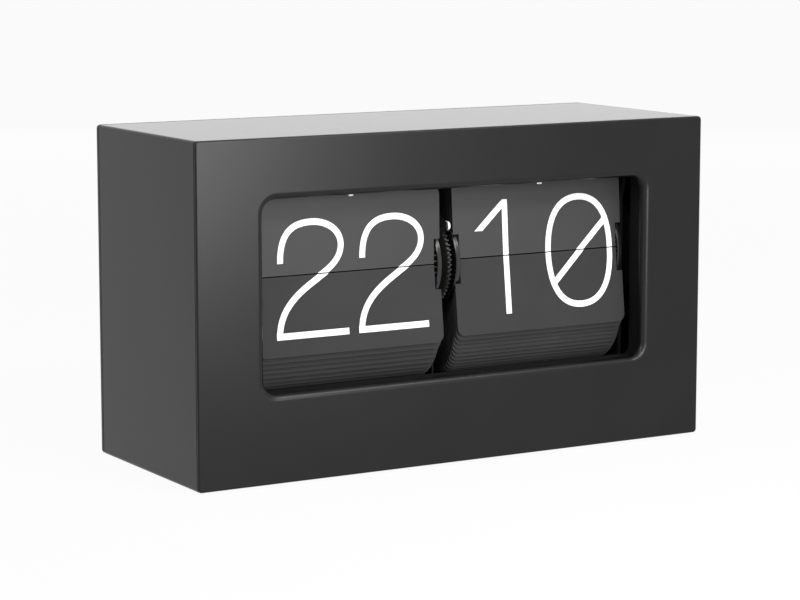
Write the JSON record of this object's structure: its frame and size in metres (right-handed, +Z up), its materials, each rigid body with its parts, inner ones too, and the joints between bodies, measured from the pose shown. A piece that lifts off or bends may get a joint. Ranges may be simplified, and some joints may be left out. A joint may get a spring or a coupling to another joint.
{
  "type": "flip clock",
  "caption": "Rectangular table flip clock: satin black case with a windowed front, hour and minute flap drums, gear train, drive motor and battery compartment.",
  "frame": {"origin": "middle of the footprint, on the surface the clock stands on", "axes": "+X to the right seen from the front, +Y to the rear, +Z up"},
  "size_m": [0.21, 0.08, 0.121],
  "materials": {
    "satin_black_paint": "satin",
    "satin_black_plastic": "satin",
    "dark_plastic": "matte",
    "flap_card": "matte",
    "drum_plastic": "satin",
    "white_nylon": "satin",
    "natural_acetal": "satin",
    "steel": "bright",
    "zinc_screw": "bright",
    "black_screw": "black oxide",
    "rubber": "matte",
    "cell_wrap": "gloss",
    "spring_steel": "nickel plated",
    "board": "solder mask",
    "wire": "insulation"
  },
  "bodies": {
    "root": {"case_shell": "satin_black_paint", "base_screws": "black_screw", "front_bezel": "satin_black_plastic", "window_frame": "dark_plastic", "window_frame_screws": "zinc_screw", "rear_cover": "satin_black_plastic", "rear_cover_screws": "black_screw", "rubber_pads": "rubber", "battery_cell": "cell_wrap", "battery_tray": "dark_plastic", "battery_spring": "spring_steel", "battery_plate": "spring_steel", "battery_leads": "wire", "circuit_board": "board", "board_screws": "zinc_screw", "base_frame": "dark_plastic", "left_side_plate": "dark_plastic", "right_side_plate": "dark_plastic", "top_rail": "dark_plastic", "frame_screws": "zinc_screw", "hour_hook": "white_nylon", "minute_hook": "white_nylon", "centre_bracket": "satin_black_paint", "main_axle": "steel", "retaining_clips": "steel", "bracket_studs": "steel", "reduction_stud": "steel", "gearbox_cover": "dark_plastic", "drive_motor": "steel", "motor_screws": "zinc_screw", "motor_leads": "wire"},
    "hour_drum": {"hour_hub": "drum_plastic", "hour_disc_left": "drum_plastic", "hour_disc_right": "drum_plastic", "hour_gear": "natural_acetal", "hour_fan_flaps": "flap_card", "hour_lower_flap": "flap_card", "hour_stack_flaps": "flap_card"},
    "hour_top": {"hour_top_flap": "flap_card"},
    "minute_drum": {"minute_hub": "drum_plastic", "minute_disc_left": "drum_plastic", "minute_disc_right": "drum_plastic", "minute_click_wheel": "drum_plastic", "minute_pinion": "natural_acetal", "drive_gear": "natural_acetal", "minute_fan_flaps": "flap_card", "minute_rear_flaps": "flap_card"},
    "minute_top": {"minute_top_flap": "flap_card"},
    "minute_lower": {"minute_lower_flap": "flap_card"},
    "minute_stack_1": {"minute_stack_flaps_1": "flap_card"},
    "minute_stack_2": {"minute_stack_flaps_2": "flap_card"},
    "minute_stack_3": {"minute_stack_flaps_3": "flap_card"},
    "lay": {"lay_wheel": "natural_acetal", "lay_pinion": "natural_acetal"},
    "idler": {"idler_gear": "natural_acetal"},
    "setting": {"setting_wheel": "satin_black_plastic"},
    "pawl": {"click_pawl": "white_nylon"},
    "reduction": {"reduction_wheel": "natural_acetal"},
    "motor_output": {"motor_pinion": "steel"},
    "door": {"battery_door": "satin_black_plastic"}
  },
  "joints": [
    {"name": "minute_drum_turn", "type": "hinge", "parent": "root", "child": "minute_drum", "pos_m": [0.04035, -0.0125, 0.071], "axis": [1, 0, 0], "range_deg": [0, 6]},
    {"name": "hour_drum_turn", "type": "hinge", "parent": "root", "child": "hour_drum", "pos_m": [-0.03965, -0.0125, 0.071], "axis": [1, 0, 0], "range_deg": [0, 0.25]},
    {"name": "minute_flap_fall", "type": "hinge", "parent": "minute_drum", "child": "minute_top", "pos_m": [0.04035, -0.0283, 0.0735], "axis": [1, 0, 0], "range_deg": [0, 168], "deforming": ["minute_hook"]},
    {"name": "hour_flap_fall", "type": "hinge", "parent": "hour_drum", "child": "hour_top", "pos_m": [-0.03965, -0.02843, 0.07253], "axis": [1, 0, 0], "range_deg": [0, 168], "deforming": ["hour_hook"]},
    {"name": "minute_lower_hang", "type": "hinge", "parent": "minute_drum", "child": "minute_lower", "pos_m": [0.04035, -0.02848, 0.07184], "axis": [1, 0, 0], "range_deg": [-6, 0]},
    {"name": "minute_stack_1_hang", "type": "hinge", "parent": "minute_drum", "child": "minute_stack_1", "pos_m": [0.04035, -0.02796, 0.06686], "axis": [1, 0, 0], "range_deg": [-6, 0]},
    {"name": "minute_stack_2_hang", "type": "hinge", "parent": "minute_drum", "child": "minute_stack_2", "pos_m": [0.04035, -0.02381, 0.05969], "axis": [1, 0, 0], "range_deg": [-6, 0]},
    {"name": "minute_stack_3_hang", "type": "hinge", "parent": "minute_drum", "child": "minute_stack_3", "pos_m": [0.04035, -0.01664, 0.05554], "axis": [1, 0, 0], "range_deg": [-6, 0]},
    {"name": "lay_turn", "type": "hinge", "parent": "root", "child": "lay", "pos_m": [0, 0.00023, 0.05827], "axis": [1, 0, 0], "range_deg": [-1, 0]},
    {"name": "idler_turn", "type": "hinge", "parent": "root", "child": "idler", "pos_m": [0.0016, 0.01617, 0.07866], "axis": [1, 0, 0], "range_deg": [-7.83, 0]},
    {"name": "setting_wheel_turn", "type": "hinge", "parent": "root", "child": "setting", "pos_m": [0.004, 0.027, 0.095], "axis": [1, 0, 0], "range_deg": [0, 15]},
    {"name": "reduction_turn", "type": "hinge", "parent": "root", "child": "reduction", "pos_m": [0.085, 0.0073, 0.071], "axis": [1, 0, 0], "range_deg": [-60, 0]},
    {"name": "motor_output_turn", "type": "hinge", "parent": "root", "child": "motor_output", "pos_m": [0.088, 0.01328, 0.05455], "axis": [1, 0, 0], "range_deg": [0, 360]},
    {"name": "click_pawl_lift", "type": "hinge", "parent": "root", "child": "pawl", "pos_m": [0.0021, -0.0045, 0.0965], "axis": [-1, 0, 0], "range_deg": [0, 4], "stiffness_Nm_per_rad": 0.0005},
    {"name": "battery_door_swing", "type": "hinge", "parent": "root", "child": "door", "pos_m": [-0.042, 0.0382, 0.0063], "axis": [-1, 0, 0], "range_deg": [0, 90]}
  ],
  "couplings": [
    {"joint": "hour_drum_turn", "follows": "minute_drum_turn", "ratio": 0.041667},
    {"joint": "minute_lower_hang", "follows": "minute_drum_turn", "ratio": -1},
    {"joint": "minute_stack_1_hang", "follows": "minute_drum_turn", "ratio": -1},
    {"joint": "minute_stack_2_hang", "follows": "minute_drum_turn", "ratio": -1},
    {"joint": "minute_stack_3_hang", "follows": "minute_drum_turn", "ratio": -1},
    {"joint": "lay_turn", "follows": "minute_drum_turn", "ratio": -0.16667},
    {"joint": "idler_turn", "follows": "minute_drum_turn", "ratio": -1.3043},
    {"joint": "setting_wheel_turn", "follows": "minute_drum_turn", "ratio": 2.5},
    {"joint": "reduction_turn", "follows": "minute_drum_turn", "ratio": -10},
    {"joint": "motor_output_turn", "follows": "minute_drum_turn", "ratio": 60}
  ]
}
